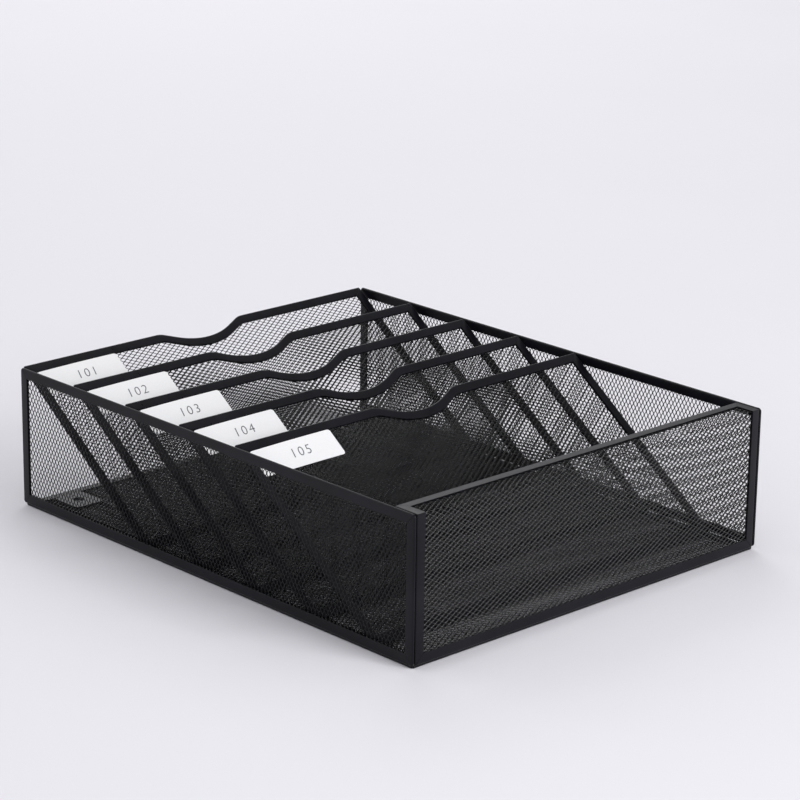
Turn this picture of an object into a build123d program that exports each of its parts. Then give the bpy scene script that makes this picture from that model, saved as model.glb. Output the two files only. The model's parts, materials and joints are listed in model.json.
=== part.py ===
"""Five-pocket mesh file sorter, lying on its back panel.

X runs across the sorter, Y along it and Z up. The ledge end is at -Y and the open end, which is
the top when the sorter hangs on a wall, is at +Y. The origin is the middle of the underside.
Every panel is a sheet of expanded mesh whose edges sit in the grooves of flat channel rails.
"""
from build123d import *
from math import cos, radians, sin
import os

# Whole sorter
width = 325.0
length = 402.0
height = 102.0

# Channel rails and mesh
rail_thickness = 2.0
rail_web = 1.0             # solid edge of a channel, outside the groove that holds the mesh
rail_width = 7.0
mesh_thickness = 0.8
corner_radius = 3.0

# Back panel, set in a little under the walls that stand on it
back_inset = 1.0

# End panel between the side panels, folded over into a ledge
end_gap = 0.2
ledge_depth = 21.0
fold_radius = 2.0

# Slanted dividers
divider_count = 5
divider_pitch = 57.3
divider_slope = radians(36)
divider_overhang = 1.5     # how far the first divider's top edge stands out past the open end
divider_proud = 0.5        # how far every top edge stands above the side panels
divider_side_gap = 1.0
divider_foot_gap = 0.1

# Finger notch in the top edge of each divider
notch_half_width = 37.0
notch_corner_depth = 17.2  # depth of the notch's corner before it is rounded
notch_shoulder_radius = 14.0
notch_floor_radius = 58.0

# Label card under the left end of each top rail
label_width = 70.0
label_height = 21.4
label_thickness = 0.3
label_radius = 2.0
label_gap = 0.1

# Hanging plates in the two corners at the open end
plate_width = 24.0
plate_length = 27.0
plate_thickness = 1.0
plate_from_middle = 130.0
plate_from_open_end = 22.0
screw_hole_radius = 4.0
mesh_hole_radius = 5.5

side_bottom = rail_thickness
inner_half_width = width / 2 - rail_thickness


def write(shape, node):
    """Write one named piece as a STEP file."""
    shape.label = node
    export_step(shape, f"parts/{node}.step")


def slab(face, thickness):
    """Thicken a flat face by the same amount to both sides."""
    return extrude(face, amount=thickness / 2, both=True)


def panel_outline(half_x, top, bottom, radius):
    """Rectangle between two heights, with rounded corners."""
    middle = (top + bottom) / 2
    return Pos(0, middle) * RectangleRounded(2 * half_x, top - bottom, radius)


def panel_opening(half_x, top, bottom):
    """Sharp rectangle between two heights."""
    return Pos(0, (top + bottom) / 2) * Rectangle(2 * half_x, top - bottom)


def divider_outline(half_x, top, bottom):
    """Divider seen square on: a rectangle whose top edge dips in one smooth finger notch."""
    edge = FilletPolyline(
        (-half_x, top),
        (-notch_half_width, top),
        (0, top - notch_corner_depth),
        (notch_half_width, top),
        (half_x, top),
        radius=[notch_shoulder_radius, notch_floor_radius, notch_shoulder_radius],
    )
    rest = Polyline((half_x, top), (half_x, bottom), (-half_x, bottom), (-half_x, top))
    return make_face([*edge.edges(), *rest.edges()])


def mitre_zones(half_x, top, bottom):
    """One area per rail of a frame, parted by the mitre lines at its corners."""
    inner_x = half_x - rail_width
    inner_top = top - rail_width
    inner_bottom = bottom + rail_width
    middle = (top + bottom) / 2
    return {
        "top": [(-half_x, top), (-inner_x, inner_top), (-inner_x, middle),
                (inner_x, middle), (inner_x, inner_top), (half_x, top)],
        "bottom": [(-half_x, bottom), (half_x, bottom), (inner_x, inner_bottom),
                   (inner_x, middle), (-inner_x, middle), (-inner_x, inner_bottom)],
        "left": [(-half_x, top), (-half_x, bottom), (-inner_x, inner_bottom), (-inner_x, inner_top)],
        "right": [(half_x, bottom), (half_x, top), (inner_x, inner_top), (inner_x, inner_bottom)],
    }


def framed_sheet(outline, opening, sheet_face, zones):
    """Cut a frame into mitred channel rails, and groove them for the mesh sheet they hold."""
    sheet = slab(sheet_face, mesh_thickness)
    frame = outline - opening
    rails = {}
    for side, corners in zones.items():
        zone = Polygon(*corners, align=None)
        rails[side] = slab(frame & zone, rail_thickness) - sheet
    return sheet, rails


def flat_panel(half_x, top, bottom):
    """A mesh sheet in a rectangular frame with four rails."""
    return framed_sheet(
        panel_outline(half_x, top, bottom, corner_radius),
        panel_opening(half_x - rail_width, top - rail_width, bottom + rail_width),
        panel_opening(half_x - rail_web, top - rail_web, bottom + rail_web),
        mitre_zones(half_x, top, bottom),
    )


def write_panel(plane, sheet, rails, prefix, side_names):
    """Place a panel and write its mesh and its rails."""
    write(plane * sheet, f"{prefix}_mesh")
    for side, rail in rails.items():
        write(plane * rail, f"{prefix}_{side_names[side]}_rail")


def make_back():
    """Back panel, the sheet that the sorter lies on, with its two hanging plates."""
    half_x = width / 2 - back_inset
    half_y = length / 2 - back_inset
    plane = Plane.XY.offset(rail_thickness / 2)
    sheet, rails = flat_panel(half_x, half_y, -half_y)
    plate_y = length / 2 - plate_from_open_end
    plate_face = Rectangle(plate_width, plate_length) - Circle(screw_hole_radius)
    plate_bottom = (rail_thickness + mesh_thickness) / 2
    for side, sign in {"left": -1, "right": 1}.items():
        place = Pos(sign * plate_from_middle, plate_y, 0)
        sheet -= place * Cylinder(mesh_hole_radius, 2 * mesh_thickness)
        plate = extrude(plate_face, amount=plate_thickness)
        write(Pos(0, 0, plate_bottom) * place * plate, f"hanging_plate_{side}")
    names = {"top": "far", "bottom": "near", "left": "left", "right": "right"}
    write_panel(plane, sheet, rails, "back", names)


def make_sides():
    """Left and right side panels, standing on the back panel."""
    sheet, rails = flat_panel(length / 2, height, side_bottom)
    names = {"top": "top", "bottom": "bottom", "left": "near", "right": "far"}
    for side, sign in {"left": -1, "right": 1}.items():
        middle_x = sign * (width - rail_thickness) / 2
        plane = Plane(origin=(middle_x, 0, 0), x_dir=(0, 1, 0), z_dir=(1, 0, 0))
        write_panel(plane, sheet, rails, f"{side}_side", names)


def folded_profile(thickness):
    """Section of the end panel, as seen along X: a wall, a rounded fold and a ledge on top."""
    inset = (rail_thickness - thickness) / 2
    outer_y = -length / 2 + inset
    outer_z = height - inset
    ledge_end = -length / 2 + ledge_depth - rail_web
    bottom = side_bottom + rail_web
    radius = fold_radius - inset
    outer = FilletPolyline(
        (outer_y, bottom), (outer_y, outer_z), (ledge_end, outer_z), radius=radius)
    inner = FilletPolyline(
        (outer_y + thickness, bottom), (outer_y + thickness, outer_z - thickness),
        (ledge_end, outer_z - thickness), radius=radius - thickness)
    foot = Line(outer @ 0, inner @ 0)
    tip = Line(outer @ 1, inner @ 1)
    return make_face([*outer.edges(), *inner.edges(), foot, tip])


def make_end():
    """End panel: one mesh sheet folded into a ledge, with rails on its wall and on the ledge."""
    half_x = inner_half_width - end_gap
    sheet_half_x = half_x - rail_web
    wall_top = height - fold_radius
    section = Plane.YZ * folded_profile(mesh_thickness)
    sheet = extrude(section, amount=sheet_half_x, dir=(1, 0, 0), both=True)
    write(sheet, "end_mesh")

    wall_plane = Plane(origin=(0, -(length - rail_thickness) / 2, 0), x_dir=(1, 0, 0), z_dir=(0, -1, 0))
    wall_outline = panel_outline(half_x, height, side_bottom, corner_radius)
    wall_outline &= panel_opening(half_x, wall_top, side_bottom)
    inner_x = half_x - rail_width
    inner_bottom = side_bottom + rail_width
    wall_frame = wall_outline - panel_opening(inner_x, height, inner_bottom)
    zones = {
        "bottom": [(-half_x, side_bottom), (half_x, side_bottom),
                   (inner_x, inner_bottom), (-inner_x, inner_bottom)],
        "left": [(-half_x, wall_top), (-half_x, side_bottom),
                 (-inner_x, inner_bottom), (-inner_x, wall_top)],
        "right": [(half_x, side_bottom), (half_x, wall_top),
                  (inner_x, wall_top), (inner_x, inner_bottom)],
    }
    for side, corners in zones.items():
        rail = slab(wall_frame & Polygon(*corners, align=None), rail_thickness)
        write(wall_plane * rail - sheet, f"end_{side}_rail")

    ledge_plane = Plane.XY.offset(height - rail_thickness / 2)
    fold_y = -length / 2 + fold_radius
    lip_y = -length / 2 + ledge_depth
    inner_lip_y = lip_y - rail_width
    zones = {
        "lip": [(-half_x, lip_y), (-inner_x, inner_lip_y), (inner_x, inner_lip_y), (half_x, lip_y)],
        "left": [(-half_x, fold_y), (-inner_x, fold_y), (-inner_x, inner_lip_y), (-half_x, lip_y)],
        "right": [(half_x, fold_y), (half_x, lip_y), (inner_x, inner_lip_y), (inner_x, fold_y)],
    }
    for side, corners in zones.items():
        rail = slab(Polygon(*corners, align=None), rail_thickness)
        write(ledge_plane * rail - sheet, f"ledge_{side}_rail")


def divider_plane(number):
    """Plane of one divider: its local y climbs the slope, and y = 0 is the middle of its top edge."""
    half_rail = rail_thickness / 2
    top_y = length / 2 + divider_overhang - half_rail * sin(divider_slope) - number * divider_pitch
    top_z = height + divider_proud - half_rail * cos(divider_slope)
    climb = Vector(0, cos(divider_slope), sin(divider_slope))
    across = Vector(1, 0, 0)
    return Plane(origin=(0, top_y, top_z), x_dir=across, z_dir=across.cross(climb))


def make_dividers():
    """Five equal slanted dividers, each a notched mesh sheet in a frame, with a label card."""
    half_x = inner_half_width - divider_side_gap
    rise = height + divider_proud - side_bottom - divider_foot_gap - rail_thickness * cos(divider_slope)
    bottom = -rise / sin(divider_slope)
    inner_x = half_x - rail_width
    sheet, rails = framed_sheet(
        divider_outline(half_x, 0, bottom),
        divider_outline(inner_x, -rail_width, bottom + rail_width),
        divider_outline(half_x - rail_web, -rail_web, bottom + rail_web),
        mitre_zones(half_x, 0, bottom),
    )
    names = {side: side for side in rails}

    label_x = -inner_x + label_gap + label_width / 2
    label_y = -rail_width - label_gap - label_height / 2
    card = extrude(RectangleRounded(label_width, label_height, label_radius), amount=label_thickness)
    card = Pos(label_x, label_y, mesh_thickness / 2) * card

    for number in range(divider_count):
        plane = divider_plane(number)
        prefix = f"divider_{number + 1}"
        write_panel(plane, sheet, rails, prefix, names)
        write(plane * card, f"{prefix}_label")


os.makedirs("parts", exist_ok=True)
make_back()
make_sides()
make_end()
make_dividers()
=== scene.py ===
# %% [markdown]
# # A file sorter of black expanded mesh, lying on its back panel
# The object is a wall or desk sorter: flat sheets of fine expanded steel in narrow rails, coated
# black. The rails are taken to be folded channels, and how the panels are joined isn't modelled.
# Its shape is simple, so what makes it look real is the mesh, the rounded rail edges and the coat.
# The CAD frame gives every place and the main sizes. The looks are built around it here.

# %% Load the frame
import bpy
import json
import numpy as np
from math import cos, pi, radians, sin, tan
from mathutils import Matrix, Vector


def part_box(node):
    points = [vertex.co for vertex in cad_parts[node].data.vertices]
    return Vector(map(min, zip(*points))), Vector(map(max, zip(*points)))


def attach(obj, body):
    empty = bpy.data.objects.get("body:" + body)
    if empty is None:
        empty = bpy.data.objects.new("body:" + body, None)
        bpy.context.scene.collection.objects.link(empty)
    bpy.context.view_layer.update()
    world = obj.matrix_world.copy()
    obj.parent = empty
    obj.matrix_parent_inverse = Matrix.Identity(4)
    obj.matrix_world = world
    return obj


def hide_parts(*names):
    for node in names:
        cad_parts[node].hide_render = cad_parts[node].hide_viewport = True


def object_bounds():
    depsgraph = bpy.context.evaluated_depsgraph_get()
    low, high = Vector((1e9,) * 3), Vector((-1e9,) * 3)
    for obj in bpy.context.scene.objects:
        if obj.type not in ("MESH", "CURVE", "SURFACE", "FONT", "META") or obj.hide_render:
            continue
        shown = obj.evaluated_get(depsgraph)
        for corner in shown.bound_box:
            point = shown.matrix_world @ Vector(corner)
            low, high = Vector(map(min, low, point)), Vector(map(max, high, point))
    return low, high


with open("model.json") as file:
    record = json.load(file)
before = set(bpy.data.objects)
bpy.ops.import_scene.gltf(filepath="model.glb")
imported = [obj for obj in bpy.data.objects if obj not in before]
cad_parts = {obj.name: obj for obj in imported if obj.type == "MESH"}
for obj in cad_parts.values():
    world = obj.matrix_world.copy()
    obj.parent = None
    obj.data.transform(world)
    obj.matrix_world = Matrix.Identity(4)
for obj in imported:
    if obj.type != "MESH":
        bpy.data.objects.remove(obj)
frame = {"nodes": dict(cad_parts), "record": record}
frame_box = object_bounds()
print("frame box in metres:", [tuple(round(c, 4) for c in corner) for corner in frame_box])

# %% [markdown]
# ## Units and corners
# Sheet-metal sizes read best in millimetres, so shapes are worked out in millimetres and turned
# into metres only when a mesh is made. These helpers read the frame in the same unit.

# %% Millimetres
MM = 0.001


def node_box(*nodes):
    """Lowest and highest corner, in millimetres, of one CAD node or of several together."""
    corners = np.array([[list(c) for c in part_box(node)] for node in nodes]) / MM
    return corners[:, 0].min(axis=0), corners[:, 1].max(axis=0)


def unit(vector):
    """The vector at length one."""
    vector = np.asarray(vector, float)
    return vector / np.linalg.norm(vector)


X, Y, Z = np.eye(3)
sorter_low, sorter_high = (np.array(corner) / MM for corner in frame_box)
print("sorter, mm:", np.round(sorter_high - sorter_low, 1))

# %% [markdown]
# ## One grain for all the steel
# Powder coat melts into a skin with a faint orange peel: bumps about a millimetre across and a few
# hundredths high. A bump map from fine noise gives this, because real geometry at that size
# would cost millions of faces. The same group serves the rails, the mesh and the plates, each with
# its own amounts, so the coat stays one coat.

# %% Node group: powder coat grain


def add_socket(tree, name, kind, direction, default=None):
    """Add one named input or output to a node group."""
    socket = tree.interface.new_socket(name=name, in_out=direction, socket_type=kind)
    if default is not None:
        socket.default_value = default
    return socket


def noise_node(tree, coordinates, scale, detail, roughness=0.5):
    """A noise texture that reads the given coordinates, with scale in cycles per metre."""
    noise = tree.nodes.new("ShaderNodeTexNoise")
    noise.inputs["Scale"].default_value = scale
    noise.inputs["Detail"].default_value = detail
    noise.inputs["Roughness"].default_value = roughness
    tree.links.new(coordinates, noise.inputs["Vector"])
    return noise


def map_range(tree, value, low, high, new_low, new_high):
    """Scale a value from one range to another. The new ends may be numbers or sockets."""
    node = tree.nodes.new("ShaderNodeMapRange")
    node.inputs["From Min"].default_value = low
    node.inputs["From Max"].default_value = high
    for name, end in (("To Min", new_low), ("To Max", new_high)):
        if isinstance(end, (int, float)):
            node.inputs[name].default_value = end
        else:
            tree.links.new(end, node.inputs[name])
    tree.links.new(value, node.inputs["Value"])
    return node.outputs["Result"]


def multiply(tree, first, second):
    """The product of two sockets."""
    node = tree.nodes.new("ShaderNodeMath")
    node.operation = "MULTIPLY"
    tree.links.new(first, node.inputs[0])
    tree.links.new(second, node.inputs[1])
    return node.outputs["Value"]


def mix_colours(tree, factor, first, second):
    """A colour between two others. Each may be a socket or plain red, green and blue."""
    node = tree.nodes.new("ShaderNodeMix")
    node.data_type = "RGBA"
    tree.links.new(factor, node.inputs["Factor"])
    for name, colour in (("A", first), ("B", second)):
        if isinstance(colour, tuple):
            node.inputs[name].default_value = (*colour, 1.0)
        else:
            tree.links.new(colour, node.inputs[name])
    return node.outputs["Result"]


def make_coat_group():
    """Colour, roughness and height of a powder coat, each from its own noise."""
    tree = bpy.data.node_groups.new("powder_coat_grain", "ShaderNodeTree")
    add_socket(tree, "Coat", "NodeSocketColor", "INPUT", (0.02, 0.02, 0.022, 1.0))
    add_socket(tree, "Thin Coat", "NodeSocketColor", "INPUT", (0.03, 0.03, 0.033, 1.0))
    add_socket(tree, "Low Roughness", "NodeSocketFloat", "INPUT", 0.35)
    add_socket(tree, "High Roughness", "NodeSocketFloat", "INPUT", 0.5)
    add_socket(tree, "Color", "NodeSocketColor", "OUTPUT")
    add_socket(tree, "Roughness", "NodeSocketFloat", "OUTPUT")
    add_socket(tree, "Height", "NodeSocketFloat", "OUTPUT")
    inside = tree.nodes.new("NodeGroupInput")
    outside = tree.nodes.new("NodeGroupOutput")
    place = tree.nodes.new("ShaderNodeTexCoord").outputs["Object"]
    peel = noise_node(tree, place, 850.0, 2.0)
    cloud = noise_node(tree, place, 28.0, 3.0)
    smear = noise_node(tree, place, 140.0, 4.0, 0.65)
    amount = map_range(tree, cloud.outputs["Fac"], 0.35, 0.7, 0.0, 1.0)
    shade = mix_colours(tree, amount, inside.outputs["Coat"], inside.outputs["Thin Coat"])
    tree.links.new(shade, outside.inputs["Color"])
    gloss = map_range(tree, smear.outputs["Fac"], 0.3, 0.7,
                      inside.outputs["Low Roughness"], inside.outputs["High Roughness"])
    tree.links.new(gloss, outside.inputs["Roughness"])
    tree.links.new(peel.outputs["Fac"], outside.inputs["Height"])
    return tree


coat_group = make_coat_group()
print("coat group outputs:", [socket.name for socket in coat_group.interface.items_tree
                              if socket.in_out == "OUTPUT"])

# %% [markdown]
# ## Dust on what faces up
# A desk sorter that has been handled has a trace of dust and rubbed coat on its upward faces. The
# mask is how far the surface faces up, times a patchy noise. It only puts out a value, and each
# material mixes its own dust colour with it.

# %% Node group: settled dust


def make_dust_group():
    """Mask of settled dust: the upward part of the normal, times noise, times an amount."""
    tree = bpy.data.node_groups.new("settled_dust", "ShaderNodeTree")
    add_socket(tree, "Amount", "NodeSocketFloat", "INPUT", 0.1)
    add_socket(tree, "Mask", "NodeSocketFloat", "OUTPUT")
    inside = tree.nodes.new("NodeGroupInput")
    outside = tree.nodes.new("NodeGroupOutput")
    place = tree.nodes.new("ShaderNodeTexCoord").outputs["Object"]
    patches = noise_node(tree, place, 45.0, 4.0, 0.6)
    facing = tree.nodes.new("ShaderNodeSeparateXYZ")
    tree.links.new(tree.nodes.new("ShaderNodeNewGeometry").outputs["Normal"], facing.inputs["Vector"])
    upward = map_range(tree, facing.outputs["Z"], 0.2, 1.0, 0.0, 1.0)
    patchy = map_range(tree, patches.outputs["Fac"], 0.35, 0.7, 0.35, 1.0)
    mask = multiply(tree, multiply(tree, upward, patchy), inside.outputs["Amount"])
    tree.links.new(mask, outside.inputs["Mask"])
    return tree


dust_group = make_dust_group()
print("dust group ready:", dust_group.name)

# %% [markdown]
# ## The powder-coated steels
# One function makes each steel finish: the coat group feeds colour and roughness, a weak bump gives
# the orange peel, and the dust group lightens what faces up. A real powder coat has an IOR near 1.5.
# The values here are lower. They are set to suit this scene's lights, and the mesh inside the
# box has its own, so that its tone can be set apart from the outer mesh.

# %% Steel materials
DUST_COLOUR = (0.30, 0.30, 0.31)
PEEL_HEIGHT = 0.00008     # metres


def new_material(name):
    """A material with its node tree and its Principled shader."""
    material = bpy.data.materials.new(name)
    material.use_nodes = True
    return material, material.node_tree, material.node_tree.nodes["Principled BSDF"]


def add_bump(tree, shader, height, strength, distance):
    """Feed a height into the shader's normal."""
    bump = tree.nodes.new("ShaderNodeBump")
    bump.inputs["Strength"].default_value = strength
    bump.inputs["Distance"].default_value = distance
    tree.links.new(height, bump.inputs["Height"])
    tree.links.new(bump.outputs["Normal"], shader.inputs["Normal"])


def coated_steel(name, coat, thin_coat, roughness, ior, bump, dust):
    """A powder-coated steel: a dielectric coat with grain, slight peel and a trace of dust."""
    material, tree, shader = new_material(name)
    shader.inputs["IOR"].default_value = ior
    grain = tree.nodes.new("ShaderNodeGroup")
    grain.node_tree = coat_group
    grain.inputs["Coat"].default_value = (*coat, 1.0)
    grain.inputs["Thin Coat"].default_value = (*thin_coat, 1.0)
    grain.inputs["Low Roughness"].default_value = roughness[0]
    grain.inputs["High Roughness"].default_value = roughness[1]
    dusty = tree.nodes.new("ShaderNodeGroup")
    dusty.node_tree = dust_group
    dusty.inputs["Amount"].default_value = dust
    colour = mix_colours(tree, dusty.outputs["Mask"], grain.outputs["Color"], DUST_COLOUR)
    tree.links.new(colour, shader.inputs["Base Color"])
    tree.links.new(grain.outputs["Roughness"], shader.inputs["Roughness"])
    add_bump(tree, shader, grain.outputs["Height"], bump, PEEL_HEIGHT)
    return material


BLACK, THIN_BLACK = (0.002, 0.002, 0.003), (0.004, 0.004, 0.005)
rail_steel = coated_steel("black_rail", (0.003, 0.003, 0.005), (0.006, 0.006, 0.009),
                          roughness=(0.27, 0.37), ior=1.26, bump=0.45, dust=0.006)
mesh_steel = coated_steel("black_mesh", BLACK, THIN_BLACK,
                          roughness=(0.16, 0.24), ior=1.36, bump=0.3, dust=0.003)
inner_mesh_steel = coated_steel("black_inner_mesh", BLACK, THIN_BLACK,
                                roughness=(0.20, 0.30), ior=1.30, bump=0.3, dust=0.003)
plate_steel = coated_steel("black_plate", (0.02, 0.02, 0.024), (0.03, 0.03, 0.035),
                           roughness=(0.25, 0.35), ior=1.34, bump=0.5, dust=0.015)
print("steels:", [steel.name for steel in (rail_steel, mesh_steel, inner_mesh_steel, plate_steel)])

# %% [markdown]
# ## Card and ink
# The labels are small white cards with a number each. Card is not pure white: its fibres scatter a
# little grey and its surface is faintly cloudy. The ink is a dark grey that soaks into the fibres
# unevenly, so its colour varies too.

# %% Paper materials
FIBRE_HEIGHT = 0.00005    # metres


def fibrous(name, light, dark, scale, roughness, bump):
    """A matte material whose colour drifts between two tones, with a fibre bump."""
    material, tree, shader = new_material(name)
    place = tree.nodes.new("ShaderNodeTexCoord").outputs["Object"]
    fibre = noise_node(tree, place, scale, 6.0, 0.7)
    amount = map_range(tree, fibre.outputs["Fac"], 0.3, 0.7, 0.0, 1.0)
    tree.links.new(mix_colours(tree, amount, dark, light), shader.inputs["Base Color"])
    matte = map_range(tree, fibre.outputs["Fac"], 0.3, 0.7, roughness - 0.1, roughness + 0.1)
    tree.links.new(matte, shader.inputs["Roughness"])
    add_bump(tree, shader, fibre.outputs["Fac"], bump, FIBRE_HEIGHT)
    return material


label_card = fibrous("label_card", (0.80, 0.80, 0.81), (0.75, 0.75, 0.76),
                     scale=900.0, roughness=0.7, bump=0.3)
pen_ink = fibrous("pen_ink", (0.16, 0.16, 0.18), (0.05, 0.05, 0.06),
                  scale=1500.0, roughness=0.6, bump=0.1)
print("papers:", label_card.name, pen_ink.name)

# %% [markdown]
# ## From arrays to a piece
# Every surface here is worked out as whole arrays of points and faces. This cell puts such
# arrays into a mesh, shades it, gives it a material and hangs it on the frame's body. Handing the
# arrays over in one go is much faster than adding faces one by one, which counts with over forty
# thousand holes.

# %% Make a piece
BODY = "root"
SHARP_ANGLE = 35.0        # degrees, where an edge stays crisp
ALL_SMOOTH = 180.0


def add_object(name, data):
    """A new object in the scene that shows the given data."""
    shown = bpy.data.objects.new(name, data)
    bpy.context.scene.collection.objects.link(shown)
    return shown


def array_mesh(name, points, face_groups):
    """A mesh from points in millimetres and arrays of faces, one array per number of corners."""
    corners = np.concatenate([faces.ravel() for faces in face_groups])
    sizes = np.concatenate([np.full(len(faces), faces.shape[1]) for faces in face_groups])
    starts = np.concatenate([[0], np.cumsum(sizes)[:-1]])
    mesh = bpy.data.meshes.new(name)
    mesh.vertices.add(len(points))
    mesh.vertices.foreach_set("co", (points * MM).astype(np.float32).ravel())
    mesh.loops.add(len(corners))
    mesh.loops.foreach_set("vertex_index", corners.astype(np.int32))
    mesh.polygons.add(len(sizes))
    mesh.polygons.foreach_set("loop_start", starts.astype(np.int32))
    mesh.update(calc_edges=True)
    mesh.validate()
    return mesh


def add_piece(name, mesh, material, nodes, sharp_angle=SHARP_ANGLE):
    """Show a mesh as a piece of the sorter that stands for the named CAD nodes."""
    mesh.shade_smooth()
    if sharp_angle < ALL_SMOOTH:
        mesh.set_sharp_from_angle(angle=radians(sharp_angle))
    mesh.materials.append(material)
    piece = add_object(name, mesh)
    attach(piece, BODY)
    if nodes:
        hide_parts(*nodes)


# %% [markdown]
# ## The section of a channel rail
# Each rail is taken to be a strip of thin sheet folded in half over the edge of the mesh. Seen from
# its end, it is a long hairpin: two lips, and a round bend as wide as the rail is thick. That bend
# can catch a line of light along the rail, so it is real geometry.

# %% Rail section
MESH_GAP = 0.46       # half of the groove between the lips
LIP_ROUND = 0.18
BEND_POINTS = 9


def channel_section(width, thickness):
    """Closed outline of a rail: (u, w), with u in from the outer edge and w across the thickness.

    The bend is a half circle of half the thickness. The lips run straight in from it, end in
    small chamfers, and come back as the walls of the groove.
    """
    half = thickness / 2
    turn = np.linspace(0, pi, BEND_POINTS)
    bend = np.stack([half - half * np.sin(turn), half * np.cos(turn)], axis=1)
    lip_in = [[width, MESH_GAP], [width, half - LIP_ROUND], [width - LIP_ROUND, half]]
    lip_out = [[u, -w] for u, w in reversed(lip_in)]
    groove = [[half, -MESH_GAP], [half, MESH_GAP]]
    return np.array([*lip_in, *bend.tolist(), *lip_out, *groove])


print("points round a rail section:", len(channel_section(7.0, 2.0)))

# %% [markdown]
# ## Mitred ends on a rounded corner
# The rails meet in mitres, and the outer corner is rounded. So a rail's end is not one flat cut.
# Points near the outer edge swing round the corner's arc to the mitre line, and points
# further in just stop at it. Both are one formula per distance from the outer edge, so the
# stations of an end are an array.

# %% Rail ends
SEAM = 0.12           # half of the hairline gap at a mitre
CORNER_STEPS = 6


def mitre_stations(u, radius, seam):
    """Stations of a mitred end: distance along the rail and distance in, for each section point.

    Where u is under the corner's radius the point lies on an arc about the corner's centre, and the
    turn goes from 45 degrees at the mitre to 0 where the rail runs straight. Further in, the
    distance in stays u and the distance along runs from u to u + 1.
    """
    turn = np.linspace(pi / 4, 0, CORNER_STEPS)[:, None]
    reach = np.clip(radius - u, 0, None)[None, :]
    along = radius - reach * np.sin(turn)
    inward = radius - reach * np.cos(turn)
    straight = u[None, :] + np.linspace(0, 1, CORNER_STEPS)[:, None]
    beyond = (u >= radius)[None, :]
    along = np.where(beyond, straight, along)
    inward = np.where(beyond, u[None, :], inward)
    return along + seam, inward


def fold_stations(u, w, reach):
    """Stations of a rail that meets its neighbour over a fold of the panel: one slanted cut.

    The face inside the fold stops at the rail's end and the outer face runs on by reach, which is
    negative where the outer face is the one with negative w.
    """
    share = (1 + np.sign(reach) * w / np.abs(w).max()) / 2
    return (SEAM - abs(reach) * share)[None, :], u[None, :].copy()


def closed_tube(stations):
    """Faces of a tube through stations of equal outlines, with a cap at each end."""
    count, around = stations.shape[:2]
    ring = np.arange(around)
    after = (ring + 1) % around
    base = np.arange(count - 1)[:, None] * around
    sides = np.stack([base + ring, base + after, base + around + after, base + around + ring], axis=2)
    first = ring[::-1][None, :]
    last = ((count - 1) * around + ring)[None, :]
    return sides.reshape(-1, 4), np.concatenate([first, last])


def outward(points, face_groups):
    """The same faces, turned over if they enclose a negative volume."""
    volume = 0.0
    for faces in face_groups:
        a, b, c = points[faces[:, 0]], points[faces[:, 1:-1]], points[faces[:, 2:]]
        volume += np.einsum("ij,ikj->", a, np.cross(b, c))
    if volume < 0:
        return [faces[:, ::-1] for faces in face_groups]
    return face_groups


# %% [markdown]
# ## One rail
# A rail is the section carried between two outer corners of its panel. The top rails of the dividers
# follow a finger notch, so a rail may take a dip: a formula that pushes each point in by an
# amount that depends on how far along it is. It then gets more stations, and no other change.

# %% Rail builder
PANEL_CORNER_RADIUS = 2.2
DIP_STEPS = 160


def rail_mesh(name, corner_a, corner_b, inward, facing, width, thickness,
              radius=PANEL_CORNER_RADIUS, dip=None, fold=0):
    """A channel rail from one outer corner to another, as a closed mesh.

    A point of the section at (u, w) goes to corner + along * s + inward * v + facing * w, where
    the stations of the two ends give s and v for each u. Both ends are mitred, unless fold says
    how far the second one runs on over a fold.
    """
    length = np.linalg.norm(corner_b - corner_a)
    along = unit(corner_b - corner_a)
    section = channel_section(width, thickness)
    u = section[:, 0]
    cuts = [mitre_stations(u, radius, SEAM), mitre_stations(u, radius, SEAM)]
    if fold:
        cuts[1] = fold_stations(u, section[:, 1], fold)
    s = np.concatenate([cuts[0][0], length - cuts[1][0][::-1]])
    v = np.concatenate([cuts[0][1], cuts[1][1][::-1]])
    if dip is not None:
        steps = np.linspace(0, 1, DIP_STEPS + 1)[1:-1, None]
        here, there = cuts[0][0][-1], length - cuts[1][0][-1]
        between = here[None, :] * (1 - steps) + there[None, :] * steps
        head = len(cuts[0][0])
        s = np.concatenate([s[:head], between, s[head:]])
        v = np.concatenate([v[:head], np.broadcast_to(u, between.shape), v[head:]])
        v = v + dip(s - length / 2)
    w = np.broadcast_to(section[:, 1], s.shape)
    points = corner_a + s[..., None] * along + v[..., None] * inward + w[..., None] * facing
    sides, caps = closed_tube(points)
    flat_points = points.reshape(-1, 3)
    return array_mesh(name, flat_points, outward(flat_points, [sides, caps]))


# %% [markdown]
# ## The rails of the flat panels
# The back and both sides are rectangles with four mitred rails. Their places come from the frame: the
# box of the four CAD rails together gives the outer corners, and one rail's box gives the width.

# %% Back and side rails


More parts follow.
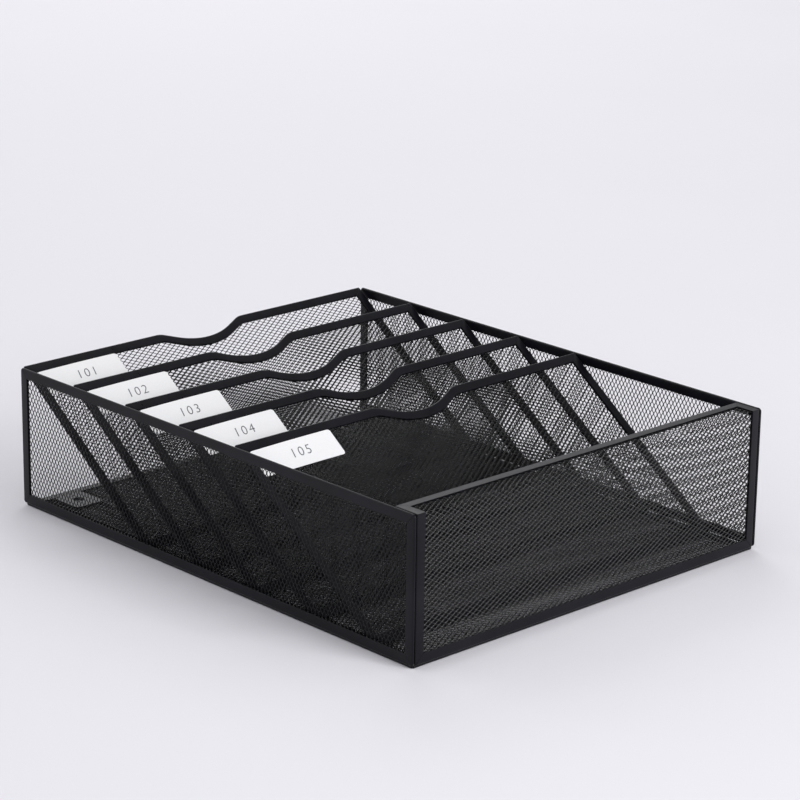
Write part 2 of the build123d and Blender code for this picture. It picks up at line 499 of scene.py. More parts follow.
def framed_panel(prefix, across, up, sides):
    """Four mitred rails round a flat panel whose plane holds the directions across and up."""
    nodes = {side: f"{prefix}_{node}_rail" for side, node in sides.items()}
    low, high = node_box(*nodes.values())
    facing = np.abs(np.cross(across, up))
    middle = (low + high) / 2
    thickness = facing @ (high - low)
    top_low, top_high = node_box(nodes["top"])
    width = up @ (top_high - top_low)
    half_a = (across @ (high - low)) / 2
    half_b = (up @ (high - low)) / 2
    corner = {(i, j): middle + i * half_a * across + j * half_b * up
              for i in (-1, 1) for j in (-1, 1)}
    runs = {
        "top": ((-1, 1), (1, 1), -up),
        "bottom": ((-1, -1), (1, -1), up),
        "left": ((-1, -1), (-1, 1), across),
        "right": ((1, -1), (1, 1), -across),
    }
    for side, (start, stop, inward) in runs.items():
        mesh = rail_mesh(nodes[side] + "_piece", corner[start], corner[stop], inward, facing,
                         width, thickness)
        add_piece(nodes[side] + "_piece", mesh, rail_steel, [nodes[side]])
    return middle, half_a, half_b, width


back_names = {"top": "far", "bottom": "near", "left": "left", "right": "right"}
side_names = {"top": "top", "bottom": "bottom", "left": "near", "right": "far"}
back_panel = framed_panel("back", X, Y, back_names)
side_panels = {side: framed_panel(f"{side}_side", Y, Z, side_names) for side in ("left", "right")}
print("back panel half sizes and rail width:", [round(float(n), 1) for n in back_panel[1:]])

# %% [markdown]
# ## The rails of the end panel
# The end panel's sheet folds over at the top into a ledge. Its uprights end in a slanted cut at the
# fold, and short rails start there with the same cut and lead along the ledge to the lip rail.

# %% End and ledge rails
END_CORNER_RADIUS = 1.5
END_SEAM = 0.25       # the coat's dark seam beside the side panels
end_low, end_high = node_box("end_bottom_rail", "end_left_rail", "end_right_rail")
end_rail_width = node_box("end_bottom_rail")[1][2] - end_low[2]
ledge_low, ledge_high = node_box("ledge_lip_rail", "ledge_left_rail", "ledge_right_rail")
lip_edge = node_box("ledge_lip_rail")[1][1]
rail_thickness = end_high[1] - end_low[1]
fold_height = ledge_high[2] - end_high[2]


def end_rails():
    """Bottom rail and uprights of the end panel, then lip and side rails of its ledge."""
    middle_y = (end_low[1] + end_high[1]) / 2
    half_x = (end_high[0] - end_low[0]) / 2 - END_SEAM
    foot = {i: np.array([i * half_x, middle_y, end_low[2]]) for i in (-1, 1)}
    head = {i: foot[i] + (end_high[2] - end_low[2]) * Z for i in foot}
    level = (ledge_low[2] + ledge_high[2]) / 2
    lip = {i: np.array([foot[i][0], ledge_high[1], level]) for i in foot}
    fold = {i: np.array([foot[i][0], ledge_low[1], level]) for i in foot}
    runs = [
        ("end_bottom_rail", foot[-1], foot[1], Z, Y, 0),
        ("end_left_rail", foot[-1], head[-1], X, Y, -fold_height),
        ("end_right_rail", foot[1], head[1], -X, Y, -fold_height),
        ("ledge_lip_rail", lip[-1], lip[1], -Y, Z, 0),
        ("ledge_left_rail", lip[-1], fold[-1], X, Z, fold_height),
        ("ledge_right_rail", lip[1], fold[1], -X, Z, fold_height),
    ]
    for node, start, stop, inward, facing, over in runs:
        mesh = rail_mesh(node + "_piece", start, stop, inward, facing, end_rail_width, rail_thickness,
                         END_CORNER_RADIUS, fold=over)
        add_piece(node + "_piece", mesh, rail_steel, [node])


end_rails()
print("end rail width, mm:", round(float(end_rail_width), 1))

# %% [markdown]
# ## The finger notch
# Each divider's top edge dips in the middle so that a thumb can take hold of a sheet. The dip is a
# shallow valley: straight flanks, one large arc for the floor and a small arc at each
# shoulder. It is written as one formula of the distance from the middle, and both the rail and the
# mesh below it read it.

# %% Notch formula
NOTCH_HALF_WIDTH = 37.0
NOTCH_CORNER_DEPTH = 17.2
SHOULDER_RADIUS = 14.0
FLOOR_RADIUS = 58.0


def notch_depth(x):
    """Depth of the notch at a distance x from the middle, in millimetres.

    The flank falls at a fixed slope towards a corner below the middle. The floor arc, tangent to both
    flanks, replaces that corner, and the shoulder arcs, tangent to flank and straight edge,
    replace the upper ones.
    """
    x = np.abs(x)
    slope = np.arctan(NOTCH_CORNER_DEPTH / NOTCH_HALF_WIDTH)
    floor_depth = NOTCH_CORNER_DEPTH - FLOOR_RADIUS * (1 / cos(slope) - 1)
    floor_end = FLOOR_RADIUS * sin(slope)
    shoulder_end = NOTCH_HALF_WIDTH + SHOULDER_RADIUS * tan(slope / 2)
    shoulder_start = shoulder_end - SHOULDER_RADIUS * sin(slope)
    floor = floor_depth - FLOOR_RADIUS + np.sqrt(np.clip(FLOOR_RADIUS**2 - x**2, 0, None))
    flank = tan(slope) * (NOTCH_HALF_WIDTH - x)
    rise = np.clip(SHOULDER_RADIUS**2 - (x - shoulder_end) ** 2, 0, None)
    shoulder = SHOULDER_RADIUS - np.sqrt(rise)
    return np.select([x < floor_end, x < shoulder_start, x < shoulder_end], [floor, flank, shoulder], 0.0)


print("notch depth at the middle, mm:", round(float(notch_depth(np.array([0.0]))[0]), 2))

# %% [markdown]
# ## The rails of the dividers
# Five equal dividers lean towards the open end. Each one's plane is found from the box of its four CAD
# rails, and the lean is the same for all.

# %% Divider rails
DIVIDER_LEAN = radians(36)
DIVIDER_CORNER_RADIUS = 1.2
climb = cos(DIVIDER_LEAN) * Y + sin(DIVIDER_LEAN) * Z
divider_facing = -sin(DIVIDER_LEAN) * Y + cos(DIVIDER_LEAN) * Z
divider_names = sorted(node.removesuffix("_top_rail") for node in frame["nodes"]
                       if node.startswith("divider") and node.endswith("_top_rail"))


def divider_facts(prefix):
    """Middle of the top edge, half width, length down the slope and rail width of one divider."""
    low, high = node_box(*(f"{prefix}_{side}_rail" for side in ("top", "bottom", "left", "right")))
    half = rail_thickness / 2
    top = np.array([(low[0] + high[0]) / 2, high[1] - half * sin(DIVIDER_LEAN),
                    high[2] - half * cos(DIVIDER_LEAN)])
    bottom_z = low[2] + half * cos(DIVIDER_LEAN)
    length = (top[2] - bottom_z) / sin(DIVIDER_LEAN)
    left_low, left_high = node_box(f"{prefix}_left_rail")
    return top, (high[0] - low[0]) / 2, length, left_high[0] - left_low[0]


def divider_rails(prefix):
    """Notched top rail, two side rails and bottom rail of one divider."""
    top, half_x, length, width = divider_facts(prefix)
    upper = {i: top + i * half_x * X for i in (-1, 1)}
    lower = {i: upper[i] - length * climb for i in upper}
    runs = [
        ("top", upper[-1], upper[1], -climb, notch_depth),
        ("bottom", lower[-1], lower[1], climb, None),
        ("left", lower[-1], upper[-1], X, None),
        ("right", lower[1], upper[1], -X, None),
    ]
    for side, start, stop, inward, dip in runs:
        node = f"{prefix}_{side}_rail"
        mesh = rail_mesh(node + "_piece", start, stop, inward, divider_facing, width,
                         rail_thickness, DIVIDER_CORNER_RADIUS, dip)
        add_piece(node + "_piece", mesh, rail_steel, [node])


for divider in divider_names:
    divider_rails(divider)
print("dividers:", divider_names)

# %% [markdown]
# ## Expanded mesh
# Expanded mesh is slit and pulled sheet: every hole is a long hexagon, holes of neighbouring rows are
# staggered by half a hole, and what is left between them are strands and the bonds
# where two strands join. Pulling also tips every strand out of the sheet's plane, so it reflects
# another way than the sheet's face. A texture with holes cut by transparency would look flat and
# have no edge, so each hole is real: six corners, shared by the strands round it.

# %% Hole pattern
LONG_WAY = 6.0        # length of one cell along the hole
SHORT_WAY = 3.5       # height of one cell across the hole
TIP = 2.37            # from a hole's middle to its pointed end
SHOULDER = 0.55       # half of a hole's flat top
RISE = 1.14           # half of a hole's height
TILT = 0.22           # how far a bond's upper edge stands out of the sheet, and its lower edge in
LEFT_TILT = -0.8 * TILT       # each sheet's tilt and its sign are set one by one
DIVIDER_TILT = -1.7 * TILT
HOLE_CORNERS = 6
STRAND_THICKNESS = 0.45


def hole_grid(length_a, length_b):
    """Middles of the staggered holes that fill a rectangle.

    Row j is at j half short ways up, and odd rows are shifted by half a long way.
    """
    rows = int(length_b / (SHORT_WAY / 2)) + 3
    columns = int(length_a / LONG_WAY) + 3
    j, i = np.meshgrid(np.arange(rows), np.arange(columns), indexing="ij")
    a = (i + (j % 2) / 2) * LONG_WAY
    b = j * SHORT_WAY / 2
    return a - a.mean(), b - b.mean()


def hexagon_holes(tilt):
    """Corners of a long hexagonal hole from its middle: (along, across, out) for each corner."""
    return np.array([
        [TIP, 0, 0], [SHOULDER, RISE, -tilt], [-SHOULDER, RISE, -tilt],
        [-TIP, 0, 0], [-SHOULDER, -RISE, tilt], [SHOULDER, -RISE, tilt]])


# %% [markdown]
# The strands follow from the holes. A strand is the four-cornered face between a hole and the next
# hole up on its right or left, and a bond is the six-cornered face between a hole, the two beside
# it above and the one straight above. The underside is the same face pushed back by the
# thickness, and walls close every edge that only one face uses, which are the rims of the holes.

# %% Mesh sheet


def neighbours(kept):
    """For each hole, its number and those of the next ones up on its right, on its left and above.

    Kept holes are numbered in a table with a border two wide. It holds -1 where there is no hole,
    so that a hole at the edge finds no neighbour there.
    """
    rows, columns = kept.shape
    number = np.full((rows + 4, columns + 4), -1)
    number[2:-2, 2:-2][kept] = np.arange(kept.sum())
    j, i = np.arange(rows)[:, None], np.arange(columns)[None, :]
    odd = j % 2
    return (number[j + 2, i + 2], number[j + 3, i + 2 + odd],
            number[j + 3, i + 1 + odd], number[j + 4, i + 2])


def open_edges(face_groups, count):
    """Edges that only one face uses, as pairs of its corners. count is over every corner's number."""
    edges = np.concatenate([
        np.stack([faces, np.roll(faces, -1, axis=1)], axis=2).reshape(-1, 2)
        for faces in face_groups])
    code = edges[:, 0] * count + edges[:, 1]
    reverse = edges[:, 1] * count + edges[:, 0]
    return edges[~np.isin(code, reverse)]


def drop_unused(points, face_groups):
    """The points that some face uses, and the faces numbered to match."""
    used = np.unique(np.concatenate([faces.ravel() for faces in face_groups]))
    renumber = np.zeros(len(points), int)
    renumber[used] = np.arange(len(used))
    return points[used], [renumber[faces] for faces in face_groups]


def strand_faces(kept):
    """Strands and bonds between kept holes, as arrays of hole corners.

    Corners of a hole are numbered from its right tip, anticlockwise.
    """
    here, up_right, up_left, above = neighbours(kept)
    right_pair = (here >= 0) & (up_right >= 0)
    left_pair = (here >= 0) & (up_left >= 0)
    full = right_pair & left_pair & (above >= 0)

    def corner(hole, which):
        return hole * HOLE_CORNERS + which

    tip_right, top_right, top_left, tip_left, low_left, low_right = range(6)
    a, b = here[right_pair], up_right[right_pair]
    falling = np.stack([corner(a, tip_right), corner(b, low_left),
                        corner(b, tip_left), corner(a, top_right)], axis=1)
    a, c = here[left_pair], up_left[left_pair]
    rising = np.stack([corner(a, top_left), corner(c, tip_right),
                       corner(c, low_right), corner(a, tip_left)], axis=1)
    a, b, c, d = here[full], up_right[full], up_left[full], above[full]
    bonds = np.stack([corner(a, top_left), corner(a, top_right), corner(b, tip_left),
                      corner(d, low_right), corner(d, low_left), corner(c, tip_right)], axis=1)
    return np.concatenate([falling, rising]), bonds


def sheet_mesh(name, length_a, length_b, keep, shape, corners):
    """A sheet of expanded mesh. keep says which hole middles stay, shape bends flat points.

    shape takes (a, b, w), the place in the flat sheet and the height over it, and gives points.
    """
    a, b = hole_grid(length_a, length_b)
    kept = keep(a, b)
    middles = np.stack([a[kept], b[kept], np.zeros(kept.sum())], axis=1)
    flat = (middles[:, None, :] + corners[None, :, :]).reshape(-1, 3)
    strands, bonds = strand_faces(kept)

    count = len(flat)
    rim = open_edges([strands, bonds], count)
    walls = np.stack([rim[:, 1], rim[:, 0], rim[:, 0] + count, rim[:, 1] + count], axis=1)

    half = np.array([0, 0, STRAND_THICKNESS / 2])
    both = np.concatenate([flat + half, flat - half])
    face_groups = [np.concatenate([strands, strands[:, ::-1] + count, walls]),
                   np.concatenate([bonds, bonds[:, ::-1] + count])]
    used, face_groups = drop_unused(both, face_groups)
    points = shape(*used.T)
    triangles = sum(len(faces) * (faces.shape[1] - 2) for faces in face_groups)
    print(f"{name}: {kept.sum()} holes, {triangles} triangles")
    return array_mesh(name, points, outward(points, face_groups))


# %% [markdown]
# ## Mesh in the side panels
# In the side panels the holes stand upright. The sheet runs a few millimetres into the groove of each
# rail, which hides its ragged edge.

# %% Side mesh
TUCK = 4.2            # how far hole middles go on under a rail, which is over half a long way


def flat_sheet(node, panel, along, across, facing, tilt):
    """Expanded mesh in a flat panel, with the long way of its holes in the direction along."""
    middle, width = panel[0], panel[3]
    low, high = node_box(node)
    reach_a = (along @ (high - low)) / 2 - width + TUCK
    reach_b = (across @ (high - low)) / 2 - width + TUCK

    def keep(a, b):
        return (np.abs(a) < reach_a) & (np.abs(b) < reach_b)

    def shape(a, b, w):
        return middle + a[:, None] * along + b[:, None] * across + w[:, None] * facing

    mesh = sheet_mesh(node + "_piece", 2 * reach_a, 2 * reach_b, keep, shape, hexagon_holes(tilt))
    add_piece(node + "_piece", mesh, mesh_steel, [node], ALL_SMOOTH)


flat_sheet("left_side_mesh", side_panels["left"], Z, Y, -X, LEFT_TILT)
flat_sheet("right_side_mesh", side_panels["right"], Z, Y, X, TILT)

# %% [markdown]
# ## Mesh in the dividers
# A divider's mesh lies with its holes across, and its upper edge follows the finger notch. The
# same sheet is used: only the rule for which holes stay changes, and the plane that they go to.

# %% Divider mesh


def divider_sheet(prefix):
    """Expanded mesh of one divider, with the finger notch cut out of its upper edge."""
    top, half_x, length, width = divider_facts(prefix)
    reach = half_x - width + TUCK
    margin = width - TUCK

    def keep(a, b):
        below = length / 2 - b - notch_depth(a)
        return (np.abs(a) < reach) & (below > margin) & (b > margin - length / 2)

    def shape(a, b, w):
        slope = (b - length / 2)[:, None] * climb
        return top + a[:, None] * X + slope + w[:, None] * divider_facing

    node = prefix + "_mesh"
    mesh = sheet_mesh(node + "_piece", 2 * half_x, length, keep, shape, hexagon_holes(DIVIDER_TILT))
    add_piece(node + "_piece", mesh, inner_mesh_steel, [node], ALL_SMOOTH)


for divider in divider_names:
    divider_sheet(divider)

# %% [markdown]
# ## The folded sheet
# The end panel's mesh is one flat sheet, bent over a small radius. It is made flat like the others and
# then bent by a formula: distance up the sheet becomes height on the wall, then an angle round the
# fold, then distance back along the ledge. Bending the finished holes keeps their pattern
# running unbroken over the fold.

# %% End mesh
FOLD_RADIUS = fold_height - rail_thickness / 2     # of the middle of the sheet


def fold_over(b, w, wall_height):
    """Section of a folded sheet: (back, up) of a point b up the sheet and w out of it.

    Up to the wall's height the sheet stands. Then it turns through a quarter circle, and
    after that it runs level towards the back.
    """
    turn = np.clip((b - wall_height) / FOLD_RADIUS, 0, pi / 2)
    level = np.clip(b - wall_height - FOLD_RADIUS * pi / 2, 0, None)
    wall = np.clip(b, None, wall_height)
    back = FOLD_RADIUS * (1 - np.cos(turn)) + level - w * np.cos(turn)
    up = wall + FOLD_RADIUS * np.sin(turn) + w * np.sin(turn)
    return back, up


def end_sheet():
    """Expanded mesh of the end panel and its ledge."""
    foot = end_low[2]
    top = (ledge_low[2] + ledge_high[2]) / 2
    face_y = (end_low[1] + end_high[1]) / 2
    wall_height = top - foot - FOLD_RADIUS
    level = lip_edge - face_y - FOLD_RADIUS
    total = wall_height + FOLD_RADIUS * pi / 2 + level
    reach = (end_high[0] - end_low[0]) / 2 - end_rail_width + TUCK
    margin = end_rail_width - TUCK

    def keep(a, b):
        return (np.abs(a) < reach) & (np.abs(b) < total / 2 - margin)

    def shape(a, b, w):
        back, up = fold_over(b + total / 2, w, wall_height)
        return np.stack([a, face_y + back, foot + up], axis=1)

    mesh = sheet_mesh("end_mesh_piece", 2 * reach, total, keep, shape, hexagon_holes(-TILT))
    add_piece("end_mesh_piece", mesh, mesh_steel, ["end_mesh"], ALL_SMOOTH)


end_sheet()

# %% [markdown]
# ## The back panel's mesh
# The back is the largest sheet, with twelve thousand holes, and it is mostly seen through the
# others. So its holes get four corners in place of six, and its strands a three-sided section: a flat
# top and a ridge below. One ridge point under each bond is enough, and every hole wall is a
# face down to the line between two of them. That halves the faces, and it still closes.
#
# Behind each hanging plate's screw hole the sheet is open, so the holes there are left out.

# %% Back mesh
DIAMOND_TIP = 2.55
DIAMOND_RISE = 1.28
DIAMOND_TILT = 0.42
DIAMOND_CORNERS = 4
SCREW_CLEARANCE = 5.0
BACK_TUCK = 5.6       # a bond needs all four holes round it, so this sheet ends further in
plate_nodes = [node for node in frame["nodes"] if node.startswith("hanging_plate")]


def diamond_holes():
    """Corners of a long four-cornered hole from its middle: right tip, top, left tip, bottom."""
    return np.array([[DIAMOND_TIP, 0, 0], [0, DIAMOND_RISE, -DIAMOND_TILT], [-DIAMOND_TIP, 0, 0],
                     [0, -DIAMOND_RISE, DIAMOND_TILT]])


def ridged_faces(kept):
    """Faces of a sheet with ridged strands: quads, triangles, and the four corners of each bond.

    Each corner of a hole belongs to one bond. A wall joins an open edge to the ridge points of
    the bonds at its two ends, and it is a triangle where both ends share one bond.
    """
    right_tip, top, left_tip, low = range(4)
    near = neighbours(kept)
    full = np.all([table >= 0 for table in near], axis=0)
    facing_corners = zip(near, (top, left_tip, right_tip, low))
    here, right, left, above = (table[full] * DIAMOND_CORNERS + corner for table, corner in facing_corners)
    bonds = np.stack([here, right, above, left], axis=1)
    ridge = np.full(DIAMOND_CORNERS * kept.sum(), -1)
    ridge[bonds] = np.arange(len(bonds))[:, None]

    def between(hole, neighbour, corners):
        pair = (hole >= 0) & (neighbour >= 0)
        ends = (hole[pair] * DIAMOND_CORNERS, neighbour[pair] * DIAMOND_CORNERS)
        faces = np.stack([ends[which] + corner for which, corner in corners], axis=1)
        return faces[np.all(ridge[faces] >= 0, axis=1)]

    falling = between(near[0], near[1], [(0, right_tip), (1, low), (1, left_tip), (0, top)])
    rising = between(near[0], near[2], [(0, top), (1, right_tip), (1, low), (0, left_tip)])
    quads = np.concatenate([bonds, falling, rising])
    rim = open_edges([quads], len(ridge))
    lower = ridge[rim] + len(ridge)
    whole = lower[:, 0] != lower[:, 1]
    walls = np.concatenate([rim[:, ::-1], lower], axis=1)
    return np.concatenate([quads, walls[whole]]), walls[~whole][:, :3], bonds


def back_sheet():
    """Expanded mesh of the back panel, open behind the two screw holes."""
    middle, half_a, half_b, width = back_panel
    reach = np.array([half_a, half_b]) - width + BACK_TUCK
    screws = [(low + high) / 2 - middle for low, high in map(node_box, plate_nodes)]
    a, b = hole_grid(*(2 * reach))
    kept = (np.abs(a) < reach[0]) & (np.abs(b) < reach[1])
    for screw in screws:
        kept &= np.hypot(a - screw[0], b - screw[1]) > SCREW_CLEARANCE
    quads, triangles, bonds = ridged_faces(kept)
    flat = np.stack([a[kept], b[kept], np.zeros(kept.sum())], axis=1)
    upper = (flat[:, None, :] + diamond_holes()).reshape(-1, 3)
    half = np.array([0, 0, STRAND_THICKNESS / 2])
    points = middle + np.concatenate([upper + half, upper[bonds].mean(axis=1) - half])
    points, face_groups = drop_unused(points, [quads, triangles])
    print(f"back mesh: {kept.sum()} holes, {2 * len(quads) + len(triangles)} triangles")
    mesh = array_mesh("back_mesh_piece", points, outward(points, face_groups))
    add_piece("back_mesh_piece", mesh, inner_mesh_steel, ["back_mesh"], ALL_SMOOTH)


back_sheet()

# %% [markdown]
# ## The hanging plates
# A flat plate with a round hole lies on the mesh in both corners at the open end, for a wall screw.
# Only the left one is known, and the right one mirrors it. Each is one surface of two parameters: an
# angle round the hole, and a profile that runs from the hole's edge over the top to the outer edge
# and back below. The outer edge is a superellipse, a rectangle with soft corners in one formula.

# %% Hanging plates
PLATE_STEPS = 96
PLATE_CHAMFER = 0.25
SQUARENESS = 9.0
screw_holes = next(mount for mount in frame["record"]["mounts"] if mount["name"] == "wall_screw_holes")
screw_hole_radius = screw_holes["dims"]["hole_r_mm"]


def plate_mesh(name, node):
    """A plate between a round hole and a superellipse.

    For each angle the outer edge is at (|cos/a|^n + |sin/b|^n)^(-1/n) from the middle. The profile goes
    round the section between the two edges, with a small chamfer at each corner.
    """
    low, high = node_box(node)
    middle = (low + high) / 2
    half_x, half_y, half_z = (high - low) / 2
    turn = np.linspace(0, 2 * pi, PLATE_STEPS, endpoint=False)[:, None]
    reach = (np.abs(np.cos(turn) / half_x) ** SQUARENESS + np.abs(np.sin(turn) / half_y) ** SQUARENESS)
    outer = reach ** (-1 / SQUARENESS)
    hole = screw_hole_radius
    edge = PLATE_CHAMFER
    inner_steps = np.array([0, 0, edge]), np.array([-half_z, half_z - edge, half_z])
    outer_steps = np.array([-edge, 0, 0]), np.array([half_z, half_z - edge, -half_z])
    far = np.concatenate([hole + inner_steps[0] + 0 * outer, outer + outer_steps[0]], axis=1)
    level = np.concatenate([inner_steps[1], outer_steps[1]])[None, :] + 0 * far
    points = middle + np.stack([far * np.cos(turn), far * np.sin(turn), level], axis=2).reshape(-1, 3)
    around = far.shape[1]
    step, place = np.arange(PLATE_STEPS)[:, None], np.arange(around)[None, :]
    after, beside = (step + 1) % PLATE_STEPS, (place + 1) % around
    faces = np.stack([step * around + place, after * around + place,
                      after * around + beside, step * around + beside], axis=2).reshape(-1, 4)
    return array_mesh(name, points, outward(points, [faces]))


for plate in plate_nodes:
    add_piece(plate + "_piece", plate_mesh(plate + "_piece", plate), plate_steel, [plate])
print("screw hole radius, mm:", screw_hole_radius)

# %% [markdown]
# ## The label cards
# Each divider carries a small white card under the left end of its top rail. A thin card is seldom
# quite flat, so it bows a little away from the mesh between its ends. It is a grid with
# rounded corners, raised by one arch, and thickened by its underside.

# %% Label cards
CARD_BOW = 0.35
CARD_TURN = radians(0.6)     # each card hangs a little low at its left end
CARD_CORNER = 2.0
CARD_COLUMNS, CARD_ROWS = 49, 13


def card_surface(half_a, half_b, s, t):
    """Flat place of a card's parameters s and t, which both run from -1 to 1.

    The rows get shorter near the upper and lower edge by the height of a quarter circle, so that the
    corners come out round.
    """
    b = half_b * t
    from_edge = np.clip(CARD_CORNER - (half_b - np.abs(b)), 0, None)
    shorter = CARD_CORNER - np.sqrt(np.clip(CARD_CORNER**2 - from_edge**2, 0, None))
    return (half_a - shorter) * s, b


def card_facts(prefix):
    """Middle, half width, half height and half thickness of a divider's card, from its CAD solid."""
    low, high = node_box(f"{prefix}_label")
    middle = (low + high) / 2
    tall, deep = high[1] - low[1], high[2] - low[2]
    lean = np.array([[cos(DIVIDER_LEAN), sin(DIVIDER_LEAN)], [sin(DIVIDER_LEAN), cos(DIVIDER_LEAN)]])
    height, thickness = np.linalg.solve(lean, [tall, deep])
    return middle, (high[0] - low[0]) / 2, height / 2, thickness / 2


def arch(half_a, a):
    """Height of a card's bow: a half wave between its two ends."""
    return CARD_BOW * np.cos(pi / 2 * np.clip(a / half_a, -1, 1))


def on_card(facts, a, b, w):
    """Points of a card from flat places a and b and a height w: turned at its right end, then bowed."""
    middle, half_a = facts[:2]
    low = b - (half_a - a) * sin(CARD_TURN)
    lift = w + arch(half_a, a)
    return middle + a[..., None] * X + low[..., None] * climb + lift[..., None] * divider_facing


def card_mesh(name, prefix):
    """A bowed card: the grid's upper and under side, joined round the edge."""
    facts = card_facts(prefix)
    half_a, half_b, half_w = facts[1:]
    rows = np.sin(np.linspace(-pi / 2, pi / 2, CARD_ROWS))
    s, t = np.meshgrid(np.linspace(-1, 1, CARD_COLUMNS), rows)
    a, b = card_surface(half_a, half_b, s, t)
    upper = on_card(facts, a, b, half_w)
    lower = on_card(facts, a, b, -half_w)
    index = np.arange(a.size).reshape(a.shape)
    tops = np.stack([index[:-1, :-1], index[:-1, 1:], index[1:, 1:], index[1:, :-1]], axis=2).reshape(-1, 4)
    edge = np.concatenate([index[0, :-1], index[:-1, -1], index[-1, :0:-1], index[:0:-1, 0]])
    following = np.roll(edge, -1)
    walls = np.stack([edge, edge + a.size, following + a.size, following], axis=1)
    points = np.concatenate([upper.reshape(-1, 3), lower.reshape(-1, 3)])
    faces = [np.concatenate([tops, tops[:, ::-1] + a.size, walls])]
    return array_mesh(name, points, outward(points, faces))


for divider in divider_names:
    piece_name = divider + "_label_piece"
    add_piece(piece_name, card_mesh(piece_name, divider), label_card, [divider + "_label"])
print("cards:", len(divider_names))

# %% [markdown]
# ## Numbers on the cards
# Each card has a plain shelf number. The number starts as a text curve, which becomes a mesh before
# it is placed, so that the piece sits at the origin unturned like every other. Its points are then
# laid on the bowed card by the card's own formula.

# %% Card numbers
NUMBER_SIZE = 10.5
NUMBER_SHIFT = 2.0
INK_DEPTH = 0.05
NUMBER_SLANT = 0.18
NUMBER_SPACING = 1.25
NUMBER_THINNING = -0.12
NUMBER_RESOLUTION = 4
FIRST_NUMBER = 101


def number_mesh(name, prefix, text):
    """A number as a thin solid that lies on a card."""
    facts = card_facts(prefix)
    curve = bpy.data.curves.new(name, "FONT")
    curve.body = text
    curve.size = NUMBER_SIZE
    curve.align_x, curve.align_y = "CENTER", "CENTER"
    curve.shear = NUMBER_SLANT
    curve.space_character = NUMBER_SPACING
    curve.offset = NUMBER_THINNING
    curve.extrude = INK_DEPTH
    curve.resolution_u = NUMBER_RESOLUTION
    holder = bpy.data.objects.new(name, curve)
    mesh = bpy.data.meshes.new_from_object(holder)
    bpy.data.objects.remove(holder)
    bpy.data.curves.remove(curve)
    flat = np.empty(3 * len(mesh.vertices))
    mesh.vertices.foreach_get("co", flat)
    a, b, w = flat.reshape(-1, 3).T
    a = a + NUMBER_SHIFT
    points = on_card(facts, a, b, facts[3] + w + INK_DEPTH / 2)
    mesh.vertices.foreach_set("co", (points * MM).ravel())
    mesh.update()
    mesh.materials.clear()
    return mesh


for index, divider in enumerate(divider_names):
    piece_name = divider + "_number"
    mesh = number_mesh(piece_name, divider, str(FIRST_NUMBER + index))
    add_piece(piece_name, mesh, pen_ink, [])
print("numbers from", FIRST_NUMBER, "to", FIRST_NUMBER + len(divider_names) - 1)

# %% [markdown]
# ## Floor and light
# The sorter stands on a plain pale floor. Nearly all of the light is a soft room: bright walls near the
# horizon and a darker ceiling. Faces that stand upright mirror the bright floor and walls, and the
# dividers, which lean back, mirror the ceiling, so they stay darker than the rest. The walls are
# dimmed on the far right, which level faces such as the ledge mirror. Three softboxes finish it: a
# large one overhead for the soft shadow, one in front for the gleam on the end panel's strands, and
# one that lifts the floor behind.

# %% Stage
FLOOR_REACH = 8000.0
floor_corners = FLOOR_REACH * np.array([[-1, -1, 0], [1, -1, 0], [1, 1, 0], [-1, 1, 0]])
floor_mesh = array_mesh("floor", floor_corners, [np.array([[0, 1, 2, 3]])])
floor = add_object("floor", floor_mesh)
paper_floor = fibrous("pale_floor", (0.80, 0.79, 0.83), (0.79, 0.78, 0.82),
                      scale=3.0, roughness=0.8, bump=0.0)
floor_mesh.materials.append(paper_floor)

bpy.context.scene.view_settings.view_transform = "Standard"

# %% Soft room
WALL_STRENGTH = 1.30
CEILING_STRENGTH = 0.16
WALL_TOP, CEILING_FOOT = 0.45, 0.75      # sines of the elevations where the walls fade out
RIGHT_GAIN, LEFT_GAIN = 0.98, 1.08
FAR_RIGHT = (0.966, 0.259, 0.0)          # where the walls are dimmed, so that upward faces stay dark
FAR_RIGHT_GAIN = 0.15
DIM_FROM, DIM_TO = 0.70, 0.95            # cosines of the angle to it between which the dimming grows


def make_room():
    """A world whose strength falls from walls to ceiling, from left to right and in the far corner."""
    world = bpy.data.worlds.new("soft_room")
    world.use_nodes = True
    tree = world.node_tree
    place = tree.nodes.new("ShaderNodeTexCoord").outputs["Generated"]
    split = tree.nodes.new("ShaderNodeSeparateXYZ")
    tree.links.new(place, split.inputs["Vector"])
    rise = map_range(tree, split.outputs["Z"], WALL_TOP, CEILING_FOOT, WALL_STRENGTH, CEILING_STRENGTH)
    gain = map_range(tree, split.outputs["X"], -1.0, 1.0, LEFT_GAIN, RIGHT_GAIN)
    corner = tree.nodes.new("ShaderNodeVectorMath")
    corner.operation = "DOT_PRODUCT"
    tree.links.new(place, corner.inputs[0])
    corner.inputs[1].default_value = FAR_RIGHT
    dimmed = map_range(tree, corner.outputs["Value"], DIM_FROM, DIM_TO, 1.0, FAR_RIGHT_GAIN)
    strength = multiply(tree, multiply(tree, rise, gain), dimmed)
    background = tree.nodes["Background"]
    background.inputs["Color"].default_value = (0.97, 0.97, 1.0, 1.0)
    tree.links.new(strength, background.inputs["Strength"])
    return world


bpy.context.scene.world = make_room()
print("room: walls", WALL_STRENGTH, "ceiling", CEILING_STRENGTH)

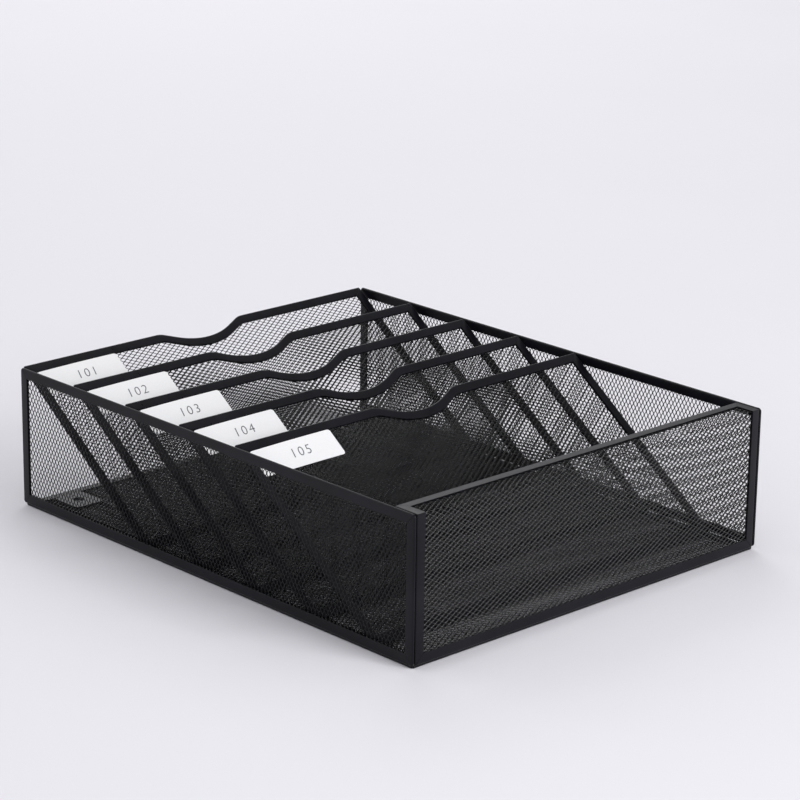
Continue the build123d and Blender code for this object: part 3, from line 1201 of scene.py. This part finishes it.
# %% Softboxes
NEARLY_UPRIGHT = 0.99     # a light that looks straight down takes its right from Y


def placed(place, right, up, back):
    """Matrix of a lamp or camera at a place in metres, from its three unit axes."""
    turn = Matrix(np.stack([right, up, back], axis=1).tolist())
    return Matrix.Translation(tuple(place)) @ turn.to_4x4()


def softbox(name, place, aim, size, power):
    """A square area light at a place in metres, turned to a point."""
    light = bpy.data.lights.new(name, "AREA")
    light.shape = "SQUARE"
    light.size = size
    light.energy = power
    back = unit(np.array(place) - np.array(aim))
    right = unit(np.cross(Y if abs(back[2]) > NEARLY_UPRIGHT else Z, back))
    add_object(name, light).matrix_world = placed(place, right, np.cross(back, right), back)


softbox("overhead_softbox", (-0.4, 0.6, 3.0), aim=(-0.4, 0.6, 0), size=4.5, power=34.0)
softbox("front_softbox", (0.45, -2.6, 1.45), aim=(0, 0, 0.05), size=1.1, power=44.0)
softbox("far_floor_softbox", (2.0, 2.4, 2.4), aim=(2.0, 2.4, 0), size=2.0, power=30.0)

# %% [markdown]
# ## The camera
# A long lens from about two metres looks down on the near left corner. Its place is worked out from an
# azimuth, an elevation and a distance, and a slight roll finishes it.

# %% Camera
VIEW_AZIMUTH = radians(-43.43)
VIEW_ELEVATION = radians(17.73)
VIEW_ROLL = radians(0.85)
VIEW_DISTANCE = 2.104
AIM_RIGHT = 0.0115
AIM_UP = 0.0886
LENS = 135.2

back = np.array([sin(VIEW_AZIMUTH) * cos(VIEW_ELEVATION),
                 -cos(VIEW_AZIMUTH) * cos(VIEW_ELEVATION), sin(VIEW_ELEVATION)])
level_right = unit(np.cross(Z, back))
level_up = np.cross(back, level_right)
right = cos(VIEW_ROLL) * level_right + sin(VIEW_ROLL) * level_up
up = cos(VIEW_ROLL) * level_up - sin(VIEW_ROLL) * level_right
eye = AIM_RIGHT * right + AIM_UP * up + VIEW_DISTANCE * back
camera_data = bpy.data.cameras.new("camera")
camera_data.lens = LENS
camera = add_object("camera", camera_data)
camera.matrix_world = placed(eye, right, up, back)
bpy.context.scene.camera = camera
